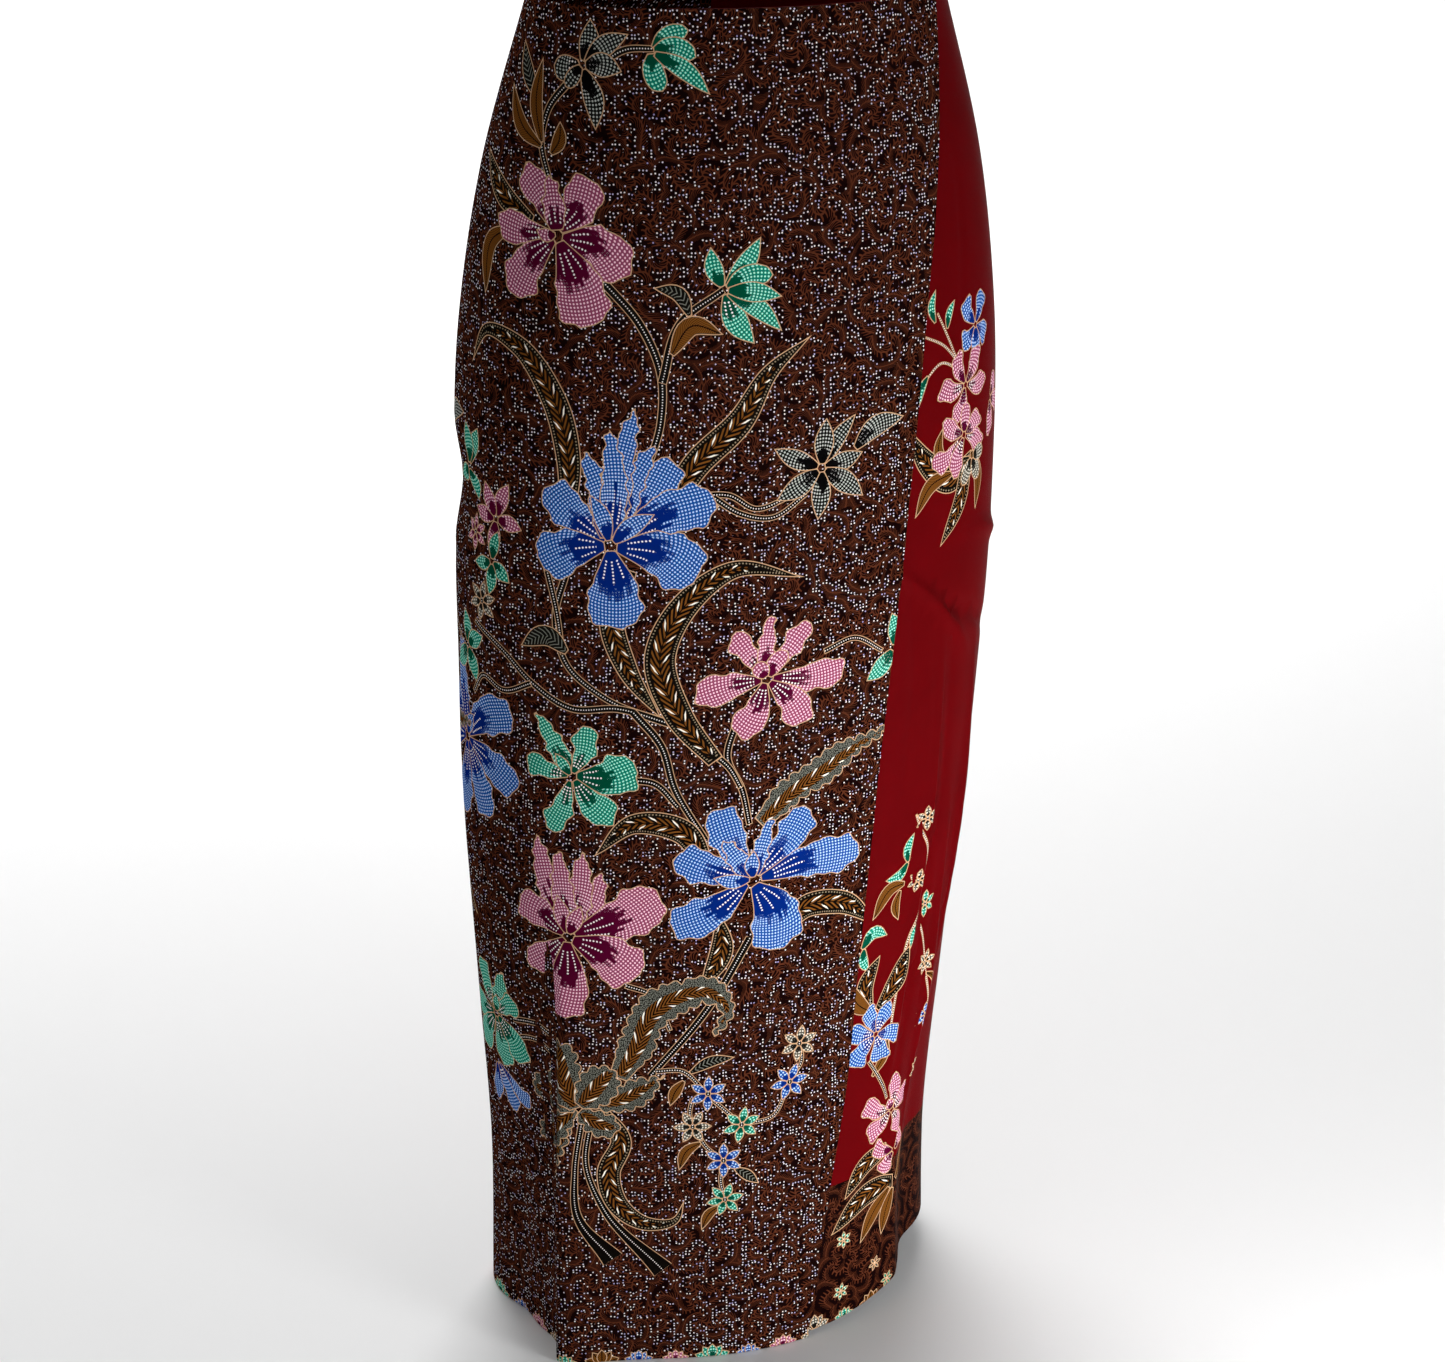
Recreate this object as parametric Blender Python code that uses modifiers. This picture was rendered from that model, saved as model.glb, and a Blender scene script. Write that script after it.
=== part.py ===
# A batik sarong as it is worn: one long cloth wound round the hips, open at the waist and the hem.
# The brown end lies over the red end across the front. Metres, +Z up, origin in the waist opening.
import math

import bmesh
import bpy
import numpy as np

# The cloth as a wall, and the air between one layer and the next
WALL = 0.0012
LAYER_GAP = 0.0006
SEAM_GAP = 0.0003

# The garment hangs from the waist edge, at z = 0, down to the hem
LENGTH = 0.960

# Sections from the waist to the hem. Angles run from the front (0) over the wearer's left (90).
# z, half_width, front_depth, back_depth, side_shift
SECTIONS = (
    (0.000, 0.1385, 0.096, 0.100, 0.000),
    (-0.105, 0.1690, 0.111, 0.122, -0.002),
    (-0.210, 0.1860, 0.119, 0.142, -0.004),
    (-0.350, 0.1920, 0.123, 0.136, -0.006),
    (-0.530, 0.1880, 0.122, 0.124, -0.011),
    (-0.710, 0.1770, 0.125, 0.116, -0.018),
    (-0.830, 0.1710, 0.130, 0.113, -0.020),
    (-0.960, 0.1735, 0.134, 0.112, -0.021),
)

# Folds: ridges stand out, troughs (with a negative height) press in. Each is strongest at its
# middle z and fades over reach_up and reach_down. The angle leans from the middle by lean per metre.
# Its spread is told apart on the side of the greater angles, ahead, and of the smaller, behind.
# angle, lean, middle_z, reach_up, reach_down, height, spread_ahead, spread_behind
FOLDS = (
    (-55.5, -8.0, -0.980, 0.46, 0.20, 0.024, 14.0, 5.0),
    (-78.0, 0.0, -0.980, 0.36, 0.20, -0.011, 12.0, 12.0),
    (49.0, 0.0, -0.900, 0.30, 0.20, 0.004, 5.0, 8.0),
    (64.0, 0.0, -0.910, 0.22, 0.20, -0.014, 12.0, 12.0),
    (50.0, -40.0, -0.480, 0.11, 0.14, 0.003, 5.0, 5.0),
    (104.0, 0.0, -0.460, 0.05, 0.10, -0.005, 16.0, 16.0),
    (-95.0, 0.0, -0.318, 0.050, 0.045, -0.006, 14.0, 16.0),
    (140.0, -8.0, -0.940, 0.45, 0.20, 0.009, 13.0, 9.0),
    (163.0, 4.0, -0.980, 0.36, 0.20, -0.007, 12.0, 12.0),
    (-158.0, 6.0, -0.980, 0.50, 0.20, 0.010, 8.0, 12.0),
    (-128.0, -5.0, -0.960, 0.34, 0.20, 0.007, 9.0, 9.0),
)

# The over wrap's free edge slants from the right side at the waist to the front at the hem.
# z, angle
FREE_EDGE = (
    (0.000, 64.0),
    (-0.060, 56.5),
    (-0.155, 48.0),
    (-0.310, 40.0),
    (-0.490, 35.0),
    (-0.660, 31.5),
    (-0.745, 29.0),
    (-0.850, 21.5),
    (-0.960, 14.5),
)

# Where the stretches end: their joint at the back, and the inner lap's edge under the front
BACK_JOINT_ANGLE = -188.0
INNER_LAP_ANGLE = -42.0

# The over wrap's columns fan out from here to its slanting free edge
FAN_ANGLE = -40.0

# Past the inner lap the over wrap sinks from the outer layer's level to the inner one's
SINK_ANGLE = -60.0

# The under wrap's hem stops this far above the over wrap's: angle, rise
UNDER_HEM = (
    (172.0, 0.000),
    (120.0, 0.016),
    (78.0, 0.024),
    (55.0, 0.018),
    (38.0, 0.009),
    (-42.0, 0.009),
)

# Columns round the body and rows down it
COLUMN_STEP = 5.0
FINE_STEP = 1.8
FINE_COLUMNS_EACH_SIDE = 4
SHARP_FOLD = 0.02
ROWS = 24

# The turn, in degrees, over which the wall's direction is read
SMALL_TURN = 0.25

# Colours of the two stretches: red, green, blue, roughness
BROWN_PRINT = (0.070, 0.026, 0.016, 0.62)
RED_PRINT = (0.210, 0.006, 0.012, 0.52)


def smooth(t):
    """Eases from 0 to 1."""
    t = np.clip(t, 0.0, 1.0)
    return t * t * (3.0 - 2.0 * t)


def column_of(table, index, at):
    """Reads one column of a table at a place between its rows, along a smooth curve through them.
    The first column falls from row to row."""
    places = np.array([row[0] for row in table])[::-1]
    values = np.array([row[index] for row in table])[::-1]
    slopes = np.gradient(values, places)
    at = np.clip(at, places[0], places[-1])
    low = np.clip(np.searchsorted(places, at) - 1, 0, len(places) - 2)
    span = places[low + 1] - places[low]
    t = (at - places[low]) / span
    start = values[low] * (1 + 2 * t) * (1 - t) ** 2 + slopes[low] * span * t * (1 - t) ** 2
    end = values[low + 1] * t * t * (3 - 2 * t) - slopes[low + 1] * span * t * t * (1 - t)
    return start + end


def turn_between(angle, other):
    """The signed turn from one angle to the other, in degrees, within half a turn."""
    return (angle - other + 180.0) % 360.0 - 180.0


def fold_height(angle, z):
    """How far all the folds together move the cloth outwards."""
    total = np.zeros(np.broadcast(angle, z).shape)
    for middle, lean, at_z, up, down, height, ahead, behind in FOLDS:
        turn = turn_between(angle, middle + lean * (z - at_z))
        spread = np.where(turn > 0, ahead, behind)
        across = np.exp(1.0 - np.sqrt(1.0 + (turn / spread * 2.0) ** 2))
        reach = np.where(z > at_z, up, down)
        along = smooth(1.0 - np.abs(z - at_z) / reach)
        total = total + height * across * along
    return total


def base_point(angle, z):
    """A point on the garment's outermost face, as x and y."""
    turn = np.radians(angle)
    half_width = column_of(SECTIONS, 1, z)
    depth = np.where(
        np.cos(turn) > 0, column_of(SECTIONS, 2, z), column_of(SECTIONS, 3, z)
    )
    radius = half_width * depth / np.hypot(depth * np.sin(turn), half_width * np.cos(turn))
    radius = radius + fold_height(angle, z)
    return column_of(SECTIONS, 4, z) + radius * np.sin(turn), -radius * np.cos(turn)


def cloth_point(angle, z, depth):
    """A point that lies depth inside the outermost face, square to the wall as seen from above."""
    x, y = base_point(angle, z)
    ahead_x, ahead_y = base_point(angle + SMALL_TURN, z)
    behind_x, behind_y = base_point(angle - SMALL_TURN, z)
    along_x, along_y = ahead_x - behind_x, ahead_y - behind_y
    length = np.hypot(along_x, along_y)
    return x - depth * along_y / length, y + depth * along_x / length


def free_edge_angle(z):
    return column_of(FREE_EDGE, 1, z)


def over_depth(angle, z):
    """The over wrap is outermost on the lap, and sinks to the under wrap's level at the back."""
    sunk = smooth((SINK_ANGLE - angle) / (SINK_ANGLE - BACK_JOINT_ANGLE))
    return (WALL + LAYER_GAP) * sunk


def under_depth(angle, z):
    return np.full(np.broadcast(angle, z).shape, WALL + LAYER_GAP)


def under_hem_rise(angle):
    return float(column_of(UNDER_HEM, 1, angle))


def columns_between(first, last):
    """Angles from first up to last, closer together round each sharp fold."""
    count = math.ceil((last - first) / COLUMN_STEP)
    angles = list(np.linspace(first, last, count + 1))
    sharp = [fold[0] for fold in FOLDS if abs(fold[5]) > SHARP_FOLD]
    for middle in sharp:
        if first < middle < last:
            reach = FINE_STEP * FINE_COLUMNS_EACH_SIDE
            angles = [a for a in angles if abs(a - middle) > reach + FINE_STEP / 2]
            steps = range(-FINE_COLUMNS_EACH_SIDE, FINE_COLUMNS_EACH_SIDE + 1)
            angles += [middle + step * FINE_STEP for step in steps]
    return sorted(angles)


def stretch_of_cloth(name, colour, columns, angle_at, depth_at, rise_at):
    """One stretch of the wound cloth: its outer face, lofted down the body, thickened inwards.
    angle_at gives a column's real angle at a height, depth_at how deep its outer face lies, and
    rise_at how far its hem stops above the full length."""
    mesh = bmesh.new()
    grid = []
    for share in np.linspace(0.0, 1.0, ROWS + 1):
        row = []
        for column in columns:
            z = -share * (LENGTH - rise_at(column))
            angle = angle_at(column, z)
            x, y = cloth_point(angle, z, depth_at(angle, z))
            row.append(mesh.verts.new((float(x), float(y), float(z))))
        grid.append(row)
    for upper, lower in zip(grid, grid[1:]):
        for column in range(len(columns) - 1):
            ahead = column + 1
            mesh.faces.new((upper[column], lower[column], lower[ahead], upper[ahead]))
    data = bpy.data.meshes.new(name)
    mesh.to_mesh(data)
    mesh.free()
    data.shade_smooth()
    data.materials.append(cloth_material(name + "_cloth", colour))
    stretch = bpy.data.objects.new(name, data)
    wall = stretch.modifiers.new("wall", "SOLIDIFY")
    wall.thickness = WALL
    wall.offset = -1.0
    wall.use_even_offset = True
    return stretch


def cloth_material(name, colour):
    material = bpy.data.materials.new(name)
    material.use_nodes = True
    shader = material.node_tree.nodes["Principled BSDF"]
    red, green, blue, roughness = colour
    shader.inputs["Base Color"].default_value = (red, green, blue, 1.0)
    shader.inputs["Roughness"].default_value = roughness
    shader.inputs["Metallic"].default_value = 0.0
    return material


def seam_turn():
    """The angle that a seam's gap takes up at the back."""
    smallest_depth = min(row[3] for row in SECTIONS)
    return math.degrees(SEAM_GAP / smallest_depth)


def over_wrap():
    """From the free edge over the front, the left side and half the back."""
    first = float(free_edge_angle(0.0))
    columns = columns_between(BACK_JOINT_ANGLE, first)

    def angle_at(column, z):
        share = max(0.0, (column - FAN_ANGLE) / (first - FAN_ANGLE))
        return column + share * (float(free_edge_angle(z)) - first)

    def rise_at(column):
        return 0.0

    return stretch_of_cloth("over_wrap", BROWN_PRINT, columns, angle_at, over_depth, rise_at)


def under_wrap():
    """From the back round the right side, and on under the over wrap as the inner lap."""
    back = BACK_JOINT_ANGLE + 360.0 - seam_turn()
    columns = columns_between(INNER_LAP_ANGLE, back)

    def angle_at(column, z):
        return column

    return stretch_of_cloth(
        "under_wrap", RED_PRINT, columns, angle_at, under_depth, under_hem_rise
    )


def build():
    for old in list(bpy.data.objects):
        bpy.data.objects.remove(old, do_unlink=True)
    collection = bpy.data.collections.new("batik_sarong")
    bpy.context.scene.collection.children.link(collection)
    for stretch in (over_wrap(), under_wrap()):
        collection.objects.link(stretch)


build()
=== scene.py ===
# A batik sarong as it is worn: the brown stretch of the cloth laps over the red one at the front.
import math

import bpy
import numpy as np
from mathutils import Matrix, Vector
from mathutils.geometry import delaunay_2d_cdt


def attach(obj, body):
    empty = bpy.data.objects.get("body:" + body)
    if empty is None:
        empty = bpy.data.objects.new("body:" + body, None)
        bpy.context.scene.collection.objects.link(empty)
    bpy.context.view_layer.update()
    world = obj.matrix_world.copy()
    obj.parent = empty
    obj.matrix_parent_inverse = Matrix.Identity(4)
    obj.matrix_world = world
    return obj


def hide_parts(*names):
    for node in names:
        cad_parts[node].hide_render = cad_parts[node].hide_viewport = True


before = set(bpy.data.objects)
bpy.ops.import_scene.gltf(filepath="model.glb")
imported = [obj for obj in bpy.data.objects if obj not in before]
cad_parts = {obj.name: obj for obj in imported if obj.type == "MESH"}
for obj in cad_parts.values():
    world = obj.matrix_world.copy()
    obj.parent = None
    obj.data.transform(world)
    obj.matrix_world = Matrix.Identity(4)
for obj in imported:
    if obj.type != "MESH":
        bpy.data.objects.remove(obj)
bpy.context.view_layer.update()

# The worn cloth's form. One long cloth hangs from the waist, wound round the hips, and its sections
# and folds are those of the solids. Angles run from the front (0) over the wearer's left (90).
LENGTH = 0.960
# z, half_width, front_depth, back_depth, side_shift
SECTIONS = (
    (0.000, 0.1385, 0.096, 0.100, 0.000),
    (-0.105, 0.1690, 0.111, 0.122, -0.002),
    (-0.210, 0.1860, 0.119, 0.142, -0.004),
    (-0.350, 0.1920, 0.123, 0.136, -0.006),
    (-0.530, 0.1880, 0.122, 0.124, -0.011),
    (-0.710, 0.1770, 0.125, 0.116, -0.018),
    (-0.830, 0.1710, 0.130, 0.113, -0.020),
    (-0.960, 0.1735, 0.134, 0.112, -0.021),
)
# angle, lean, middle_z, reach_up, reach_down, height, spread_ahead, spread_behind
FOLDS = (
    (-55.5, -8.0, -0.980, 0.46, 0.20, 0.024, 14.0, 5.0),
    (-78.0, 0.0, -0.980, 0.36, 0.20, -0.011, 12.0, 12.0),
    (49.0, 0.0, -0.900, 0.30, 0.20, 0.004, 5.0, 8.0),
    (64.0, 0.0, -0.910, 0.22, 0.20, -0.014, 12.0, 12.0),
    (50.0, -40.0, -0.480, 0.11, 0.14, 0.003, 5.0, 5.0),
    (104.0, 0.0, -0.460, 0.05, 0.10, -0.005, 16.0, 16.0),
    (-95.0, 0.0, -0.318, 0.050, 0.045, -0.006, 14.0, 16.0),
    (140.0, -8.0, -0.940, 0.45, 0.20, 0.009, 13.0, 9.0),
    (163.0, 4.0, -0.980, 0.36, 0.20, -0.007, 12.0, 12.0),
    (-158.0, 6.0, -0.980, 0.50, 0.20, 0.010, 8.0, 12.0),
    (-128.0, -5.0, -0.960, 0.34, 0.20, 0.007, 9.0, 9.0),
)
# The over wrap's free edge, from the right side at the waist to the front at the hem: z, angle
FREE_EDGE = (
    (0.000, 64.0),
    (-0.060, 56.5),
    (-0.155, 48.0),
    (-0.310, 40.0),
    (-0.490, 35.0),
    (-0.660, 31.5),
    (-0.745, 29.0),
    (-0.850, 21.5),
    (-0.960, 14.5),
)
# The under wrap's hem stops this far above the over wrap's: angle, rise
UNDER_HEM = (
    (172.0, 0.000),
    (120.0, 0.016),
    (78.0, 0.024),
    (55.0, 0.018),
    (38.0, 0.009),
    (-42.0, 0.009),
)
BACK_JOINT_ANGLE = -188.0
INNER_LAP_ANGLE = -42.0
SINK_ANGLE = -60.0

# Finer creases than the solids have. A crease runs through its middle in its own
# direction, in degrees from straight down towards the wearer's left.
# angle, z, direction, half_length, half_width, height
CREASES = (
    (52.0, -0.405, 48.0, 0.080, 0.0050, 0.0040),
    (66.0, -0.420, 62.0, 0.075, 0.0065, -0.0036),
    (78.0, -0.372, 66.0, 0.065, 0.0060, 0.0028),
    (44.0, -0.450, 4.0, 0.150, 0.0050, 0.0016),
    (54.0, -0.600, -5.0, 0.240, 0.0060, 0.0034),
    (57.6, -0.600, -5.0, 0.240, 0.0060, -0.0034),
    (63.0, -0.700, -6.0, 0.200, 0.0050, 0.0030),
    (71.0, -0.600, -5.0, 0.190, 0.0060, 0.0044),
    (84.0, -0.700, 2.0, 0.180, 0.0070, -0.0040),
    (48.0, -0.120, 4.0, 0.060, 0.0035, 0.0008),
    (60.0, -0.150, -2.0, 0.080, 0.0040, -0.0008),
    (-64.0, -0.800, 1.0, 0.170, 0.0035, -0.0030),
    (-57.2, -0.760, 1.4, 0.240, 0.0042, 0.0022),
    (-61.0, -0.740, 1.4, 0.200, 0.0034, -0.0018),
    (-40.0, -0.700, -6.0, 0.160, 0.0140, -0.0016),
    (-10.0, -0.820, 4.0, 0.150, 0.0200, 0.0022),
    (8.0, -0.600, -2.0, 0.200, 0.0180, -0.0014),
    (-84.0, -0.300, -58.0, 0.045, 0.0070, 0.0018),
    (-88.0, -0.345, -40.0, 0.050, 0.0080, -0.0020),
    (-74.0, -0.370, -24.0, 0.060, 0.0070, 0.0014),
    (-92.0, -0.560, 6.0, 0.160, 0.0110, 0.0020),
    (-72.0, -0.560, -3.0, 0.190, 0.0080, -0.0016),
    (100.0, -0.360, 60.0, 0.060, 0.0080, -0.0022),
    (112.0, -0.460, 40.0, 0.080, 0.0090, 0.0022),
    (126.0, -0.620, 6.0, 0.190, 0.0100, -0.0020),
    (96.0, -0.760, -3.0, 0.140, 0.0110, 0.0022),
    (150.0, -0.330, 70.0, 0.060, 0.0090, -0.0018),
    (175.0, -0.360, 85.0, 0.080, 0.0090, 0.0018),
    (-165.0, -0.380, -78.0, 0.070, 0.0100, -0.0020),
    (-140.0, -0.420, -55.0, 0.080, 0.0090, 0.0018),
    (-115.0, -0.480, -20.0, 0.120, 0.0100, -0.0018),
    (-108.0, -0.730, 4.0, 0.180, 0.0110, 0.0024),
    (-145.0, -0.760, -4.0, 0.170, 0.0120, -0.0020),
    (158.0, -0.560, 5.0, 0.160, 0.0100, 0.0018),
)
GIRTH_RADIUS = 0.17
CREASE_BOW = 0.12


def smooth(t):
    """Eases from 0 to 1."""
    t = np.clip(t, 0.0, 1.0)
    return t * t * (3.0 - 2.0 * t)


def curve_through(places, values, at):
    """Values along a smooth curve through the given ones, whose places rise."""
    slopes = np.gradient(values, places)
    at = np.clip(at, places[0], places[-1])
    low = np.clip(np.searchsorted(places, at) - 1, 0, len(places) - 2)
    span = places[low + 1] - places[low]
    t = (at - places[low]) / span
    start = values[low] * (1 + 2 * t) * (1 - t) ** 2 + slopes[low] * span * t * (1 - t) ** 2
    end = values[low + 1] * t * t * (3 - 2 * t) - slopes[low + 1] * span * t * t * (1 - t)
    return start + end


def column_of(table, index, at):
    """One column of a table whose first column falls from row to row."""
    places = np.array([row[0] for row in table])[::-1]
    values = np.array([row[index] for row in table])[::-1]
    return curve_through(places, values, at)


def turn_between(angle, other):
    return (angle - other + 180.0) % 360.0 - 180.0


def fold_height(angle, z):
    """How far the large folds move the cloth outwards."""
    total = np.zeros(np.broadcast(angle, z).shape)
    for middle, lean, at_z, up, down, height, ahead, behind in FOLDS:
        turn = turn_between(angle, middle + lean * (z - at_z))
        spread = np.where(turn > 0, ahead, behind)
        across = np.exp(1.0 - np.sqrt(1.0 + (turn / spread * 2.0) ** 2))
        reach = np.where(z > at_z, up, down)
        along = smooth(1.0 - np.abs(z - at_z) / reach)
        total = total + height * across * along
    return total


def crease_height(angle, z):
    """How far the fine creases move the cloth outwards."""
    total = np.zeros(np.broadcast(angle, z).shape)
    for middle, at_z, direction, half_length, half_width, height in CREASES:
        sideways = np.radians(turn_between(angle, middle)) * GIRTH_RADIUS
        downwards = at_z - z
        slant = math.radians(direction)
        along = downwards * math.cos(slant) + sideways * math.sin(slant)
        aside = sideways * math.cos(slant) - downwards * math.sin(slant)
        bow = aside + CREASE_BOW * half_length * (along / half_length) ** 2
        fade = smooth(1.0 - np.abs(along) / half_length)
        total = total + height * fade * np.exp(-((bow / half_width) ** 2))
    return total


def outer_point(angle, z, creases=True):
    """A point on the garment's outermost face, as x and y."""
    turn = np.radians(angle)
    half_width = column_of(SECTIONS, 1, z)
    depth = np.where(
        np.cos(turn) > 0, column_of(SECTIONS, 2, z), column_of(SECTIONS, 3, z)
    )
    radius = half_width * depth / np.hypot(depth * np.sin(turn), half_width * np.cos(turn))
    radius = radius + fold_height(angle, z)
    if creases:
        radius = radius + crease_height(angle, z)
    return column_of(SECTIONS, 4, z) + radius * np.sin(turn), -radius * np.cos(turn)


# Steps to neighbouring points, for directions on the cloth
SMALL_TURN = 0.25
SMALL_DROP = 0.0006


def cloth_point(angle, z, depth):
    """A point that lies depth inside the outermost face, square to the wall as seen from above."""
    x, y = outer_point(angle, z)
    ahead_x, ahead_y = outer_point(angle + SMALL_TURN, z)
    behind_x, behind_y = outer_point(angle - SMALL_TURN, z)
    along_x, along_y = ahead_x - behind_x, ahead_y - behind_y
    length = np.hypot(along_x, along_y)
    return np.stack([x - depth * along_y / length, y + depth * along_x / length, z], -1)


def cloth_normal(angle, z, depth):
    """The outward direction of the cloth."""
    round_it = cloth_point(angle + SMALL_TURN, z, depth) - cloth_point(angle - SMALL_TURN, z, depth)
    up_it = cloth_point(angle, z + SMALL_DROP, depth) - cloth_point(angle, z - SMALL_DROP, depth)
    normal = np.cross(round_it, up_it)
    return normal / np.linalg.norm(normal, axis=-1, keepdims=True)


# The cloth laid flat, to plan its print on. A place on it is how far across it lies from the middle
# of the front, towards the wearer's left, and how far down from the waist edge, in millimetres.
MM = 0.001
TABLE_ANGLES = np.arange(-204.0, 204.1, 0.5)
TABLE_HEIGHTS = -np.linspace(0.0, LENGTH, 161)


def lengths_round():
    """For each height of the table, how far round the cloth each angle lies, in millimetres."""
    angles, heights = np.meshgrid(TABLE_ANGLES, TABLE_HEIGHTS)
    x, y = outer_point(angles, heights, creases=False)
    steps = np.hypot(np.diff(x, axis=1), np.diff(y, axis=1)) / MM
    lengths = np.concatenate([np.zeros((len(TABLE_HEIGHTS), 1)), np.cumsum(steps, axis=1)], axis=1)
    front = int(np.argmin(np.abs(TABLE_ANGLES)))
    return lengths - lengths[:, front : front + 1]


LENGTHS_ROUND = lengths_round()


def angle_of(across, down):
    """The angle at which places on the flat cloth lie when it is worn."""
    step = LENGTH / MM / (len(TABLE_HEIGHTS) - 1)
    row = np.clip(down / step, 0, len(TABLE_HEIGHTS) - 1.001)
    upper = row.astype(int)
    share = row - upper
    angles = np.zeros(len(across))
    for index in np.unique(upper):
        here = upper == index
        above = np.interp(across[here], LENGTHS_ROUND[index], TABLE_ANGLES)
        below = np.interp(across[here], LENGTHS_ROUND[index + 1], TABLE_ANGLES)
        angles[here] = above * (1 - share[here]) + below * share[here]
    return angles


def across_of(angle, down):
    """How far across the flat cloth an angle lies, at one height."""
    row = min(down / (LENGTH / MM) * (len(TABLE_HEIGHTS) - 1), len(TABLE_HEIGHTS) - 1.001)
    upper = int(row)
    above = np.interp(angle, TABLE_ANGLES, LENGTHS_ROUND[upper])
    below = np.interp(angle, TABLE_ANGLES, LENGTHS_ROUND[upper + 1])
    return float(above + (below - above) * (row - upper))


# The print's shapes. The dyer waxes each as a ribbon: a spine, and a width on both sides of it that
# follows one of these outlines, from the base to the tip. Widths are shares of the widest.
# share_of_length, share_of_width
OUTLINES = {
    "fall": (
        (0.00, 0.18), (0.18, 0.46), (0.38, 0.76), (0.58, 0.95),
        (0.76, 1.00), (0.88, 0.88), (0.96, 0.60), (1.00, 0.28),
    ),
    "standard": (
        (0.00, 0.55), (0.20, 0.92), (0.42, 1.00), (0.62, 0.84),
        (0.80, 0.62), (0.93, 0.36), (1.00, 0.00),
    ),
    "pointed": ((0.00, 0.30), (0.20, 0.74), (0.42, 1.00), (0.65, 0.86), (0.84, 0.46), (1.00, 0.00)),
    "round": ((0.00, 0.35), (0.25, 0.85), (0.50, 1.00), (0.75, 0.90), (0.92, 0.55), (1.00, 0.00)),
    "blade": ((0.00, 0.55), (0.20, 0.92), (0.45, 1.00), (0.70, 0.74), (0.88, 0.34), (1.00, 0.00)),
    "stem": ((0.00, 1.00), (0.50, 0.92), (1.00, 0.80)),
    "cut_stem": ((0.00, 0.55), (0.45, 0.62), (0.75, 1.00), (0.92, 1.55), (1.00, 1.90)),
}
# How deep an outline waves and how long its waves are, in millimetres, and from where along it.
# The crests of a petal's waves are small corners, and those of a frill are round lobes.
# wave_depth, wave_length, first_share, round_lobes
RIPPLES = {
    "fall": (1.7, 21.0, 0.30, False),
    "standard": (1.5, 13.0, 0.10, False),
    "frill": (2.7, 9.0, 0.04, True),
}
POINT_EVERY = 2.2
FRILL_POINT_EVERY = 1.3

# The fills, by the numbers that the cloth's material knows them by
GROUND, PETAL, STEM, LEAF, FRILL, RIBBED = range(6)


def paint(red, green, blue):
    """A colour as it looks on the cloth, from 0 to 255, as the shader's linear values."""
    shares = np.array([red, green, blue]) / 255.0
    linear = np.where(shares < 0.04, shares / 12.92, ((shares + 0.055) / 1.055) ** 2.4)
    return tuple(float(value) for value in linear)


# name: light, deep, dots
DYES = {
    "blue": (paint(18, 76, 154), paint(4, 34, 112), paint(188, 216, 250)),
    "pink": (paint(148, 66, 98), paint(76, 4, 38), paint(252, 212, 226)),
    "green": (paint(6, 126, 102), paint(2, 70, 50), paint(170, 240, 222)),
    "grey": (paint(18, 20, 18), paint(7, 6, 7), paint(190, 194, 188)),
    "slate": (paint(84, 80, 70), paint(22, 19, 16), paint(226, 222, 208)),
}


def spread_along(points, count, eased):
    """Points along a smooth curve through the given ones, closer together at its ends if eased."""
    points = np.array(points, float)
    if len(points) == 2:
        points = np.array([points[0], points.mean(axis=0), points[1]])
    knots = np.concatenate([[0.0], np.cumsum(np.hypot(*np.diff(points, axis=0).T))])
    fine = np.linspace(0.0, knots[-1], 160)
    x = curve_through(knots, points[:, 0], fine)
    y = curve_through(knots, points[:, 1], fine)
    length = np.concatenate([[0.0], np.cumsum(np.hypot(np.diff(x), np.diff(y)))])
    share = np.linspace(0.0, 1.0, count)
    if eased:
        share = 0.5 * share + 0.5 * (0.5 - 0.5 * np.cos(np.pi * share))
    at = share * length[-1]
    return np.stack([np.interp(at, length, x), np.interp(at, length, y)], -1), share, length[-1]


def outwards_of(border):
    """The outward direction at each point of a closed border."""
    run = np.roll(border, -1, axis=0) - np.roll(border, 1, axis=0)
    length = np.maximum(np.hypot(run[:, 0], run[:, 1]), 1e-6)
    turned = np.stack([run[:, 1], -run[:, 0]], -1) / length[:, None]
    ahead = np.roll(border, -1, axis=0)
    area = np.sum(border[:, 0] * ahead[:, 1] - ahead[:, 0] * border[:, 1])
    return turned * np.sign(area)


def rippled(border, share, ripple, start):
    """How a border's points move for its waves."""
    depth, wave_length, first, round_lobes = ripple
    steps = np.hypot(*np.diff(border, axis=0).T)
    wave = np.concatenate([[0.0], np.cumsum(steps)]) / wave_length * math.pi + start
    if round_lobes:
        lift = 1.7 * np.sqrt(np.abs(np.sin(wave))) + 0.4 * np.sin(0.37 * wave) - 0.9
    else:
        lift = 1.4 * (1.0 - np.abs(np.sin(wave))) + 0.5 * np.sin(3.1 * wave) - 0.6
    return outwards_of(border) * (depth * smooth((share - first) / 0.2) * lift)[:, None]


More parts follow.
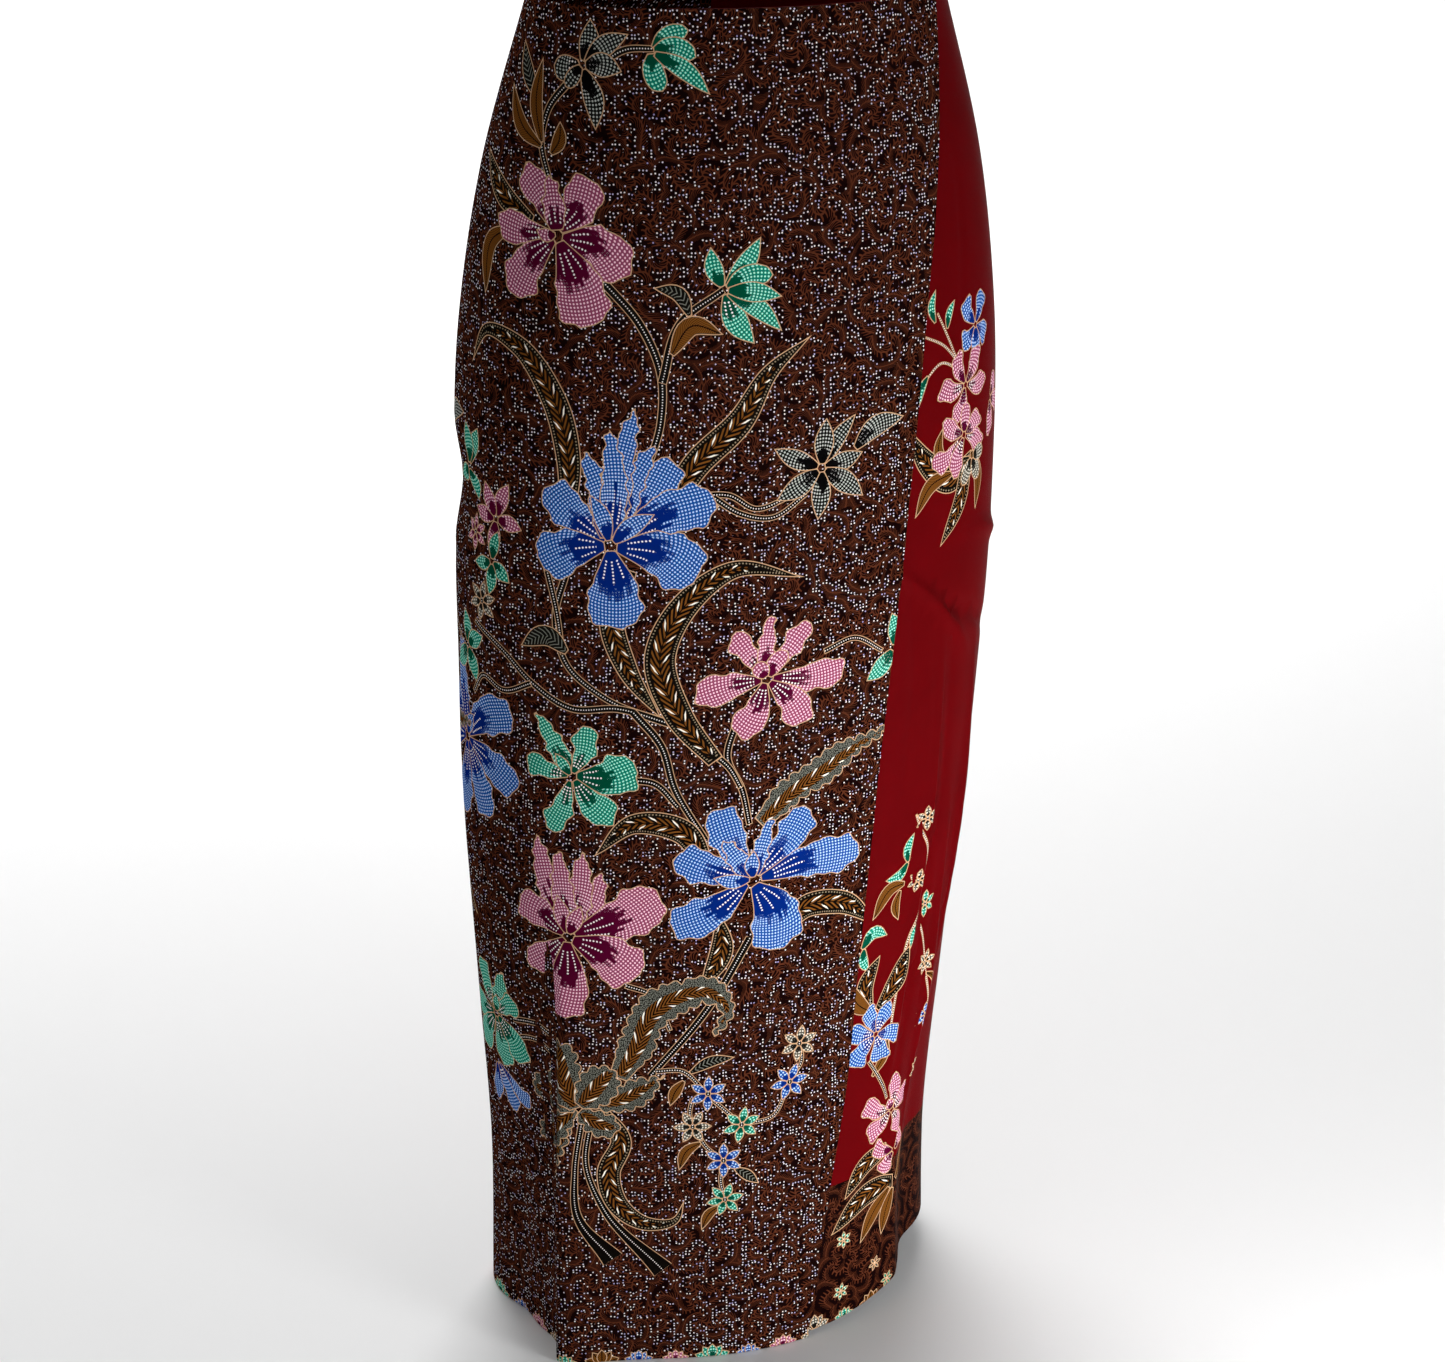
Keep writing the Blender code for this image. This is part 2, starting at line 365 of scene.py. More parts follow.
def ribbon(spine, half_width, outline, fill, dye=None, ripple=None, other_side=1.0):
    """One shape of the print. other_side is the width of one side as a share of the other's."""
    rough = np.hypot(*np.diff(np.array(spine, float), axis=0).T).sum()
    point_every = FRILL_POINT_EVERY if ripple == "frill" else POINT_EVERY
    count = int(np.clip(rough / point_every, 7, 90)) + 1
    middle, share, length = spread_along(spine, count, outline != "stem")
    along = np.gradient(middle, axis=0)
    along = along / np.hypot(along[:, 0], along[:, 1])[:, None]
    aside = np.stack([along[:, 1], -along[:, 0]], -1)
    places = np.array([row[0] for row in OUTLINES[outline]])
    widths = np.array([row[1] for row in OUTLINES[outline]])
    width = np.maximum(curve_through(places, widths, share), 0.0) * half_width
    left, right = width.copy(), width * other_side
    pointed = width[-1] < 0.02 * half_width
    sides = slice(0, len(middle) - 1) if pointed else slice(0, len(middle))
    tip = middle[-1:] if pointed else middle[:0]
    border = np.concatenate([
        (middle + aside * left[:, None])[sides],
        tip,
        (middle - aside * right[:, None])[sides][::-1],
    ])
    if ripple:
        at_tip = share[-1:] if pointed else share[:0]
        along_border = np.concatenate([share[sides], at_tip, share[sides][::-1]])
        border = border + rippled(border, along_border, RIPPLES[ripple], half_width)
    return {
        "border": border, "middle": middle, "aside": aside, "left": left, "right": right,
        "share": share, "length": length, "half_width": half_width, "fill": fill, "dye": dye,
    }


def petals_of(centre, dye, petals):
    """A flower's petals, the lowest first."""
    shapes = []
    for tip_across, tip_down, half_width, bend, *other in petals:
        outline = other[0] if other else "fall"
        reach = np.array([tip_across - centre[0], tip_down - centre[1]], float)
        base = np.array(centre, float) + 0.07 * reach
        tip = np.array([tip_across, tip_down], float)
        aside = np.array([reach[1], -reach[0]]) / np.hypot(*reach)
        spine = (base, (base + tip) / 2.0 + aside * bend, tip)
        ripple = outline if outline in RIPPLES else None
        shapes.append(ribbon(spine, half_width, outline, PETAL, dye, ripple))
    return shapes


def star_of(centre, dye, reach, turn, petals=6):
    """A small flower with pointed petals and a ring in its middle."""
    shapes = []
    for number in range(petals):
        angle = math.radians(turn + 360.0 * number / petals)
        way = np.array([math.sin(angle), -math.cos(angle)])
        spine = (np.array(centre) + 0.1 * reach * way, np.array(centre) + reach * way)
        shapes.append(ribbon(spine, 0.24 * reach, "pointed", PETAL, dye))
    ring = (np.array(centre) - (0.0, 0.16 * reach), np.array(centre) + (0.0, 0.16 * reach))
    shapes.append(ribbon(ring, 0.15 * reach, "round", STEM))
    return shapes


def moved(shape, across, down):
    """A copy of a shape somewhere else on the cloth."""
    way = np.array([across, down])
    return {**shape, "border": shape["border"] + way, "middle": shape["middle"] + way}


def gaps_to_border(border, points, open_end):
    """How far points lie from a closed border, in millimetres."""
    start, end = border, np.roll(border, -1, axis=0)
    if open_end:
        keep = np.ones(len(border), bool)
        keep[[len(border) // 2 - 1, -1]] = False
        start, end = start[keep], end[keep]
    run = end - start
    offset = points[:, None, :] - start[None]
    share = np.clip((offset * run).sum(-1) / np.maximum((run * run).sum(-1), 1e-9), 0.0, 1.0)
    return np.sqrt(((offset - share[..., None] * run) ** 2).sum(-1)).min(axis=1)


def places_in(shape, points):
    """Where points lie in a shape: aside of its spine as a share of the width there, along it,
    in from its border, and the width there."""
    middle = shape["middle"]
    start, run = middle[:-1], np.diff(middle, axis=0)
    offset = points[:, None, :] - start[None]
    share = np.clip((offset * run).sum(-1) / (run * run).sum(-1), 0.0, 1.0)
    nearest = ((offset - share[..., None] * run) ** 2).sum(-1).argmin(axis=1)
    row = np.arange(len(points))
    at = nearest + share[row, nearest]
    index = np.arange(len(middle))
    along = np.interp(at, index, shape["share"]) * shape["length"]
    foot = np.stack([np.interp(at, index, middle[:, k]) for k in (0, 1)], -1)
    aside = np.stack([np.interp(at, index, shape["aside"][:, k]) for k in (0, 1)], -1)
    away = ((points - foot) * aside).sum(-1)
    width = np.where(away > 0, np.interp(at, index, shape["left"]), np.interp(at, index, shape["right"]))
    width = np.maximum(width, 0.3)
    inwards = gaps_to_border(shape["border"], points, shape["fill"] == STEM)
    return np.clip(away / width, -1.0, 1.0), along, inwards, width


# The cloth's own mesh: the cut's edge, the print's borders and an even net of points between them
# are joined into triangles on the flat cloth, and each point is then moved to where it is worn.
INNER_NET_STEP = 12.0
CLEAR_OF_BORDERS = 1.7
WIDE_SHAPE = 3.5
INSET = 1.3
CLOTH_THICKNESS = 0.0005


def net_points(edge, step, taken):
    """Points of an even net inside the cut, clear of the points that are taken."""
    low, high = edge.min(axis=0), edge.max(axis=0)
    across = np.arange(low[0] + step / 2, high[0], step)
    down = np.arange(low[1] + step / 2, high[1], step)
    net = np.stack(np.meshgrid(across, down), -1).reshape(-1, 2)
    cell = 4.0
    filled = {}
    for point in taken:
        filled.setdefault((int(point[0] // cell), int(point[1] // cell)), []).append(point)
    clear = []
    for point in net:
        column, row = int(point[0] // cell), int(point[1] // cell)
        near = [p for i in (-1, 0, 1) for j in (-1, 0, 1) for p in filled.get((column + i, row + j), ())]
        if not near or np.min(np.sum((np.array(near) - point) ** 2, axis=1)) > CLEAR_OF_BORDERS**2:
            clear.append(point)
    return np.array(clear)


def points_inside(shape):
    """A row of points just inside a wide shape's border, so that its line is drawn evenly."""
    if shape["half_width"] < WIDE_SHAPE:
        return []
    border = shape["border"]
    moved_in = border - outwards_of(border) * INSET
    return list(moved_in[gaps_to_border(border, moved_in, False) > 0.85 * INSET])


def triangles_of(edge, shapes, step):
    """The flat cloth as triangles, and for each the number of the topmost shape on it, or -1."""
    points, faces = list(edge), [list(range(len(edge)))]
    for shape in shapes:
        faces.append(list(range(len(points), len(points) + len(shape["border"]))))
        points.extend(shape["border"])
    for shape in shapes:
        points.extend(shape["middle"][1:-1])
        points.extend(points_inside(shape))
    points.extend(net_points(edge, step, points))
    flat, _, triangles, _, _, sources = delaunay_2d_cdt(
        [Vector(point) for point in points], [], faces, 1, 1e-4, True
    )
    kept = [(face, max(source) - 1) for face, source in zip(triangles, sources) if 0 in source]
    flat = np.array([point[:] for point in flat])
    corners = np.array([face for face, top in kept])
    used, corners = np.unique(corners, return_inverse=True)
    return flat[used], corners.reshape(-1, 3), np.array([top for face, top in kept])


def edge_loop(triangles):
    """The points round the cloth's edge, in order."""
    sides = np.concatenate([triangles[:, [0, 1]], triangles[:, [1, 2]], triangles[:, [2, 0]]])
    known = set(map(tuple, sides.tolist()))
    following = {a: b for a, b in known if (b, a) not in known}
    first = min(following)
    loop = [first]
    while following[loop[-1]] != first:
        loop.append(following[loop[-1]])
    return np.array(loop)


def worn(flat, depth_at, thickness):
    """Points of the flat cloth where they are worn, and the cloth's outward direction there."""
    z = -np.clip(flat[:, 1] * MM, 0.0, LENGTH)
    angle = angle_of(flat[:, 0], flat[:, 1])
    depth = depth_at(angle) + thickness
    return cloth_point(angle, z, depth), cloth_normal(angle, z, depth)


def make_cloth(name, edge, shapes, depth_at, material, net_step):
    """One stretch of the cloth as a closed thin shell, with its print's places on it."""
    outer_flat, outer, top = triangles_of(edge, shapes, net_step)
    rim = edge_loop(outer)
    inner_flat, inner, _ = triangles_of(outer_flat[rim], [], INNER_NET_STEP)
    outer_co, outer_normal = worn(outer_flat, depth_at, 0.0)
    inner_co, inner_normal = worn(inner_flat, depth_at, CLOTH_THICKNESS)
    count = len(outer_co)
    # The cut's edge has the same points on both faces, and a narrow band joins them
    key = {(round(a, 3), round(d, 3)): i for i, (a, d) in enumerate(inner_flat.tolist())}
    partner = np.array([key[(round(a, 3), round(d, 3))] for a, d in outer_flat[rim].tolist()]) + count
    ahead, ahead_partner = np.roll(rim, -1), np.roll(partner, -1)
    band = np.concatenate([
        np.stack([rim, ahead, ahead_partner], -1), np.stack([rim, ahead_partner, partner], -1)
    ])
    co = np.concatenate([outer_co, inner_co])
    flat = np.concatenate([outer_flat, inner_flat])
    # The flat cloth is seen from the wearer's side, so the outer face's triangles are turned over
    outer = outer[:, ::-1]
    faces = np.concatenate([outer, inner + count, band])
    vertex_normal = np.concatenate([outer_normal, -inner_normal])
    normal = vertex_normal[faces]
    across = np.cross(co[band[:, 1]] - co[band[:, 0]], co[band[:, 2]] - co[band[:, 0]])
    across = across / np.maximum(np.linalg.norm(across, axis=1, keepdims=True), 1e-12)
    normal[len(outer) + len(inner):] = across[:, None, :]
    total = len(faces)
    place, size = np.zeros((total, 3, 2)), np.ones((total, 3, 3))
    gap, fill = np.ones((total, 3)), np.zeros((total, 3))
    colours = {layer: np.ones((total, 3, 4)) for layer in ("light", "deep", "dots")}
    for number, shape in enumerate(shapes):
        rows = np.nonzero(top == number)[0]
        if not len(rows):
            continue
        points, back = np.unique(outer[rows], return_inverse=True)
        aside, along, inwards, width = places_in(shape, outer_flat[points])
        back = back.reshape(-1, 3)
        place[rows, :, 0] = aside[back]
        place[rows, :, 1] = (along * MM)[back]
        size[rows, :, 2] = (width * MM)[back]
        gap[rows] = (inwards * MM)[back]
        fill[rows] = shape["fill"]
        size[rows, :, :2] = shape["length"] * MM, shape["half_width"] * MM
        if shape["dye"]:
            for layer, colour in zip(colours.values(), DYES[shape["dye"]]):
                layer[rows, :, :3] = colour
    mesh = bpy.data.meshes.new(name)
    mesh.vertices.add(len(co))
    mesh.vertices.foreach_set("co", co.ravel())
    mesh.loops.add(3 * total)
    mesh.loops.foreach_set("vertex_index", faces.ravel().astype(np.int32))
    mesh.polygons.add(total)
    mesh.polygons.foreach_set("loop_start", np.arange(0, 3 * total, 3, dtype=np.int32))
    mesh.update(calc_edges=True)
    mesh.shade_smooth()
    # The bake's map: the outer face to scale, and the inner one narrowed into the room beside it
    bake = flat / (LENGTH / MM) * 0.98
    bake = (bake - bake.min(axis=0) + 0.005)[faces]
    room = 1.0 - bake[: len(outer), :, 0].max() - 0.01
    inner_part = bake[len(outer):]
    shrink = room / (inner_part[..., 0].max() - inner_part[..., 0].min() + 0.02)
    start = bake[: len(outer), :, 0].max() + 0.008
    bake[len(outer):] = inner_part * shrink + (start, 0.0)
    for layer, values in (("cloth", flat[faces] * MM), ("place", place), ("OFBake", bake)):
        mesh.uv_layers.new(name=layer).data.foreach_set("uv", values.ravel())
    for layer, values in (("gap", gap), ("fill", fill)):
        mesh.attributes.new(layer, "FLOAT", "CORNER").data.foreach_set("value", values.ravel())
    mesh.attributes.new("size", "FLOAT_VECTOR", "CORNER").data.foreach_set("vector", size.ravel())
    for layer, values in colours.items():
        mesh.attributes.new(layer, "FLOAT_COLOR", "CORNER").data.foreach_set("color", values.ravel())
    mesh.materials.append(material)
    mesh.normals_split_custom_set(normal.reshape(-1, 3).tolist())
    piece = bpy.data.objects.new(name, mesh)
    bpy.context.scene.collection.objects.link(piece)
    return piece


class Value:
    """What varies over the cloth: a number, colour or vector. Sums on it add Math nodes."""

    def __init__(self, tree, socket=None):
        self.tree = tree
        self.socket = socket

    def node(self, kind, settings=None, sockets=None, output=0):
        """Adds any node: its settings first, then the values or links of its sockets."""
        made = self.tree.nodes.new(kind)
        for name, value in (settings or {}).items():
            setattr(made, name, value)
        for name, value in (sockets or {}).items():
            if isinstance(value, Value):
                self.tree.links.new(value.socket, made.inputs[name])
            else:
                made.inputs[name].default_value = value
        return Value(self.tree, made.outputs[output])

    def math(self, operation, *others):
        return self.node("ShaderNodeMath", {"operation": operation}, dict(enumerate((self, *others))))

    def __add__(self, other):
        return self.math("ADD", other)

    __radd__ = __add__

    def __sub__(self, other):
        return self.math("SUBTRACT", other)

    def __rsub__(self, other):
        return (self * -1.0) + other

    def __mul__(self, other):
        return self.math("MULTIPLY", other)

    __rmul__ = __mul__

    def __truediv__(self, other):
        return self.math("DIVIDE", other)

    def __lt__(self, other):
        return self.math("LESS_THAN", other)

    def __gt__(self, other):
        return self.math("GREATER_THAN", other)

    def below(self, limit, soft):
        """1 below the limit, 0 above it, with a soft step between."""
        return self.node(
            "ShaderNodeMapRange",
            {"interpolation_type": "SMOOTHSTEP"},
            {"Value": self - limit, "From Min": -soft, "From Max": soft, "To Min": 1.0, "To Max": 0.0},
        )

    def mixed(self, first, second):
        """The first colour where this is 0, and the second where it is 1."""
        return self.node(
            "ShaderNodeMix",
            {"data_type": "RGBA", "clamp_factor": True},
            {0: self, 6: as_colour(first), 7: as_colour(second)},
            output=2,
        )

    def part(self, number):
        """One of a vector's three numbers."""
        return self.node("ShaderNodeSeparateXYZ", None, {0: self}, output=number)


def as_colour(colour):
    return (*colour, 1.0) if isinstance(colour, tuple) else colour


class Cloth(Value):
    """The start of a material's tree on the cloth: what the mesh says about each place on it."""

    def map(self, name):
        return self.node("ShaderNodeUVMap", {"uv_map": name})

    def number(self, name):
        return self.node("ShaderNodeAttribute", {"attribute_name": name}, output=2)

    def colour(self, name):
        return self.node("ShaderNodeAttribute", {"attribute_name": name})


# The colours of the print on both stretches
BLACK_GROUND = paint(16, 4, 4)
FERN_BROWN = paint(82, 41, 25)
CREAM_LINE = paint(198, 158, 120)
DOT_WHITE = paint(252, 246, 244)
DOT_LILAC = paint(170, 160, 214)
LEAF_BROWN = paint(120, 72, 26)
LEAF_BLACK = paint(12, 9, 7)
DASH_WHITE = paint(248, 246, 234)
DOT_BEIGE = paint(150, 134, 108)
STIPPLE_GREY = paint(120, 122, 112)


def centred(value):
    """The distance from the nearest half, in whole steps: 0 in the middle of each step."""
    return (value.math("FRACT") - 0.5).math("ABSOLUTE")


def dots_at(aside, ahead, radius):
    """Round dots, from the distances to the middle of the nearest one."""
    return (aside * aside + ahead * ahead).math("SQRT").below(radius, 0.00014)


PETAL_DOT_STEP = 0.0023
PETAL_DOT = 0.00064
LEAF_STEP = 0.0052
LARGE_LEAF = 0.0078
MIDRIB = 0.00040
LEAF_BAND = 0.0034
DROP_EVERY = 0.34
DROP_OUT = 0.38
DROP_SIZE = 0.088
HEART_END = 0.40
RAY_START, RAY_END = 0.12, 0.44
FRILL_SHARE, FRILL_LEAST = 0.50, 0.0022
STEM_DOT_STEP = 0.0018
STEM_DOT = 0.00040
EDGE_DOT_STEP = 0.0021
EDGE_DOT = 0.00050
STIPPLE_STEP = 0.0010
LINE_WIDTH = 0.00066
THINNER_STEM_LINE = 0.00018

# The ferns: sprigs that curl out of the middle of each swirl, with leaflets on both sides
SWIRL = 0.021
ARMS = 3.0
ARM_CURL = 0.032
LEAFLET_REACH = 0.0032
LEAFLET_STEP = 0.0029
DOT_STEP = 0.0024
DOT = 0.00052
HALO = 0.00100
FERN_STEM = 0.00042


def brown_ground(cloth, places, bare=0.86):
    """Fern-like sprigs in brown on a black ground, with small white dots between them. The greater
    bare is, the fewer dots there are."""
    wander = cloth.node("ShaderNodeTexNoise", {"noise_dimensions": "2D"},
                        {"Vector": places, "Scale": 45.0, "Detail": 1.0}, output=1)
    shift = cloth.node("ShaderNodeVectorMath", {"operation": "SUBTRACT"}, {0: wander, 1: (0.5, 0.5, 0.5)})
    shift = cloth.node("ShaderNodeVectorMath", {"operation": "SCALE"}, {0: shift, "Scale": 0.009})
    bent = cloth.node("ShaderNodeVectorMath", {"operation": "ADD"}, {0: places, 1: shift})
    swirls = {"Vector": bent, "Scale": 1.0 / SWIRL}
    middle = cloth.node("ShaderNodeTexVoronoi", {"voronoi_dimensions": "2D"}, swirls, output=2)
    chance = cloth.node("ShaderNodeTexVoronoi", {"voronoi_dimensions": "2D"}, swirls, output=1)
    chance = cloth.node("ShaderNodeSeparateColor", None, {0: chance}, output=0)
    spoke = cloth.node("ShaderNodeVectorMath", {"operation": "SUBTRACT"}, {0: bent, 1: middle})
    radius = cloth.node("ShaderNodeVectorMath", {"operation": "LENGTH"}, {0: spoke}, output=1)
    turn = spoke.part(1).math("ARCTAN2", spoke.part(0)) / (2.0 * math.pi)
    way = (chance > 0.5) * 2.0 - 1.0
    arm = (turn + way * radius / ARM_CURL) * ARMS + chance * 7.0
    girth = radius * (2.0 * math.pi)
    steepness = ((girth * girth).math("POWER", -1.0) + 1.0 / ARM_CURL**2).math("SQRT")
    aside = centred(arm) / (steepness * ARMS)
    travelled = radius * (1.0 + (radius / ARM_CURL) * (radius / ARM_CURL) * 4.5)
    comb = centred((travelled - aside * (0.7 + aside * 160.0)) / LEAFLET_STEP)
    leaflets = (comb + aside * 26.0).below(0.20, 0.04) * (aside < LEAFLET_REACH)
    ferns = leaflets.math("MAXIMUM", aside.below(FERN_STEM, 0.00012))
    dot_settings = {"voronoi_dimensions": "2D"}
    dot_sockets = {"Vector": places, "Scale": 1.0 / DOT_STEP, "Randomness": 0.6}
    dot_gap = cloth.node("ShaderNodeTexVoronoi", dot_settings, dot_sockets) * DOT_STEP
    dot_chance = cloth.node("ShaderNodeTexVoronoi", dot_settings, dot_sockets, output=1)
    often = cloth.node("ShaderNodeSeparateColor", None, {0: dot_chance}, output=0)
    tint = cloth.node("ShaderNodeSeparateColor", None, {0: dot_chance}, output=1)
    shown = (often + (aside > 0.0025) * 0.46) > bare
    dots = dot_gap.below(DOT, 0.00010) * shown
    halo = dot_gap.below(HALO, 0.0002) * shown
    ground = (ferns * (1.0 - halo)).mixed(BLACK_GROUND, FERN_BROWN)
    return dots.mixed(ground, (tint * tint).mixed(DOT_WHITE, DOT_LILAC))


def filled_shapes(cloth, ground):
    """The print's shapes over the ground: each fill, then the cream line round its shape."""
    place = cloth.map("place")
    share_aside, along = place.part(0), place.part(1)
    size = cloth.node("ShaderNodeAttribute", {"attribute_name": "size"}, output=1)
    reach, half_width, width = size.part(0), size.part(1), size.part(2)
    gap, fill = cloth.number("gap"), cloth.number("fill")
    light, deep = cloth.colour("light"), cloth.colour("deep")
    share = along / reach
    off_spine = share_aside.math("ABSOLUTE")
    aside = off_spine * width
    # A petal is light with close rows of dots. Its heart is deep, with a ragged end, and a few rays
    # of dots run out from its base.
    spread = (share * 1.5).math("MINIMUM", 1.0) * 0.6 + 0.4
    columns = (half_width / PETAL_DOT_STEP * 2.0).math("ROUND")
    column = share_aside * width / (half_width * spread) * columns * 0.5
    row = (along * along + aside * aside).math("SQRT") / PETAL_DOT_STEP
    chance = cloth.node("ShaderNodeTexWhiteNoise", {"noise_dimensions": "2D"}, {"Vector": cloth.node(
        "ShaderNodeCombineXYZ", None, {0: column.math("FLOOR"), 1: reach * 900.0})})
    wide = ((half_width - 0.008) / 0.007).math("MINIMUM", 1.0).math("MAXIMUM", 0.0)
    heart_end = HEART_END + wide * 0.18 + (chance - 0.5) * 0.20 - off_spine * off_spine * 0.30
    heart = share < heart_end
    across_dot = centred(column) * half_width * spread * 2.0 / columns
    rows = dots_at(across_dot, centred(row) * PETAL_DOT_STEP, PETAL_DOT)
    ray = share_aside * 2.0 + 0.5
    rays = dots_at(centred(ray) * width * 0.5, centred(row) * PETAL_DOT_STEP, PETAL_DOT)
    rays = rays * (share < RAY_END - off_spine * 0.14) * (share > RAY_START) * (off_spine < 0.8)
    rays = rays * (half_width > 0.0075)
    petal = heart.mixed(light, deep)
    petal = (heart * rays).mixed(((1.0 - heart) * rows).mixed(petal, cloth.colour("dots")), DOT_WHITE)
    # A stem is black with one row of dots
    stem_dots = dots_at(aside, centred(along / STEM_DOT_STEP) * STEM_DOT_STEP, STEM_DOT)
    stem = stem_dots.mixed(LEAF_BLACK, DOT_WHITE)
    # A large leaf has black edges with a row of dots, and brown leaflets and white drops from its
    # midrib. A small one is brown with a fine dark hatch.
    large = half_width > LARGE_LEAF
    band = (half_width * 0.34).math("MINIMUM", LEAF_BAND) * large + 0.0011
    slanted = (along - aside * 1.7) / LEAF_STEP
    leaflets = centred(slanted).below(0.21, 0.05) * (gap > band) * (aside > MIDRIB)
    hatch = centred((along - aside * 1.2) / 0.0016).below(0.36, 0.08) * (aside > MIDRIB)
    brown = large * leaflets + (1.0 - large) * hatch * (gap > 0.0010)
    leaf = brown.mixed(LEAF_BLACK, LEAF_BROWN)
    side = (share_aside > 0.0) * 0.5
    drop = centred(slanted * DROP_EVERY + side + 0.25)
    drop = (drop + (aside / width - DROP_OUT).math("ABSOLUTE") * 0.40).below(DROP_SIZE, 0.012)
    drop = drop * (aside > 0.0009) * (gap > band * 0.7) * large
    leaf = drop.mixed(leaf, DASH_WHITE)
    edge_dots = dots_at(gap - 0.0022, centred(along / EDGE_DOT_STEP) * EDGE_DOT_STEP, EDGE_DOT) * large
    leaf = edge_dots.mixed(leaf, DOT_BEIGE)
    # A frilled leaf has a margin of grey stipple
    stipple = cloth.node("ShaderNodeTexVoronoi", {"voronoi_dimensions": "2D"},
                         {"Vector": cloth.map("cloth"), "Scale": 1.0 / STIPPLE_STEP, "Randomness": 0.7})
    margin = (stipple * STIPPLE_STEP).below(0.00036, 0.0001).mixed(LEAF_BLACK, STIPPLE_GREY)
    veins = (centred(slanted * 1.4).below(0.22, 0.05)).mixed(LEAF_BLACK, LEAF_BROWN)
    drop_in = (drop * (off_spine < 0.5)).mixed(veins, DASH_WHITE)
    on_margin = (off_spine > FRILL_SHARE - share * share * 0.2).math("MAXIMUM", gap < FRILL_LEAST)
    frill = on_margin.mixed(drop_in, margin)
    # A ribbed leaf is black with thin pale ribs
    ribs = centred((along - aside * 0.9) / 0.0031).below(0.13, 0.04)
    ribbed = (ribs * (gap > 0.0014)).mixed(LEAF_BLACK, STIPPLE_GREY)
    colour = ground
    for number, drawn in ((PETAL, petal), (STEM, stem), (LEAF, leaf), (FRILL, frill), (RIBBED, ribbed)):
        colour = ((fill - float(number)).math("ABSOLUTE") < 0.5).mixed(colour, drawn)
    thinner = ((fill - float(STEM)).math("ABSOLUTE") < 0.5) * THINNER_STEM_LINE
    line = (gap + thinner).below(LINE_WIDTH, 0.00010) * (fill > 0.5)
    return line.mixed(colour, CREAM_LINE)


THREADS = 2600.0


def cotton(name, ground, roughness, gloss, weave_depth):
    """The dyed cotton: the print on its ground, a fine plain weave and a soft sheen."""
    material = bpy.data.materials.new(name)
    material.use_nodes = True
    shader = material.node_tree.nodes["Principled BSDF"]
    cloth = Cloth(material.node_tree)
    places = cloth.map("cloth")
    colour = filled_shapes(cloth, ground(cloth, places))
    warp = (places.part(0) * THREADS * math.pi).math("SINE")
    weft = (places.part(1) * THREADS * math.pi).math("SINE")
    slub = cloth.node("ShaderNodeTexNoise", {"noise_dimensions": "2D"},
                      {"Vector": places, "Scale": 260.0, "Detail": 2.0})
    height = warp * weft * 0.5 + slub
    bump = cloth.node("ShaderNodeBump", None,
                      {"Strength": weave_depth, "Distance": 0.0002, "Height": height})
    material.node_tree.links.new(colour.socket, shader.inputs["Base Color"])
    material.node_tree.links.new(bump.socket, shader.inputs["Normal"])
    shader.inputs["Roughness"].default_value = roughness
    shader.inputs["Specular IOR Level"].default_value = gloss
    return material


# The over wrap: the brown stretch, from its free edge across the front and round the left side to
# the back. Its bouquet climbs from cut stems at the hem, and comes again on the hidden side.
WALL_AND_GAP = 0.0018
OVER_STEP = 6.0
OVER_NET_STEP = 5.5

# kind: outline, fill, dye of a petal's fill, ripple, other_side
KINDS = {
    "stem": ("stem", STEM),
    "cut stem": ("cut_stem", STEM),
    "leaf": ("pointed", LEAF),
    "bent leaf": ("pointed", LEAF, None, None, 0.8),
    "long leaf": ("blade", LEAF),
    "ribbed leaf": ("pointed", RIBBED),
    "grey leaf": ("pointed", PETAL, "grey"),
    "green leaf": ("pointed", PETAL, "green"),
    "slim frill": ("blade", FRILL, None, "frill", 0.62),
    "long frill": ("blade", FRILL, None, "frill", 0.8),
    "frill": ("pointed", FRILL, None, "frill"),
    "lobe": ("round", FRILL, None, "frill"),
}
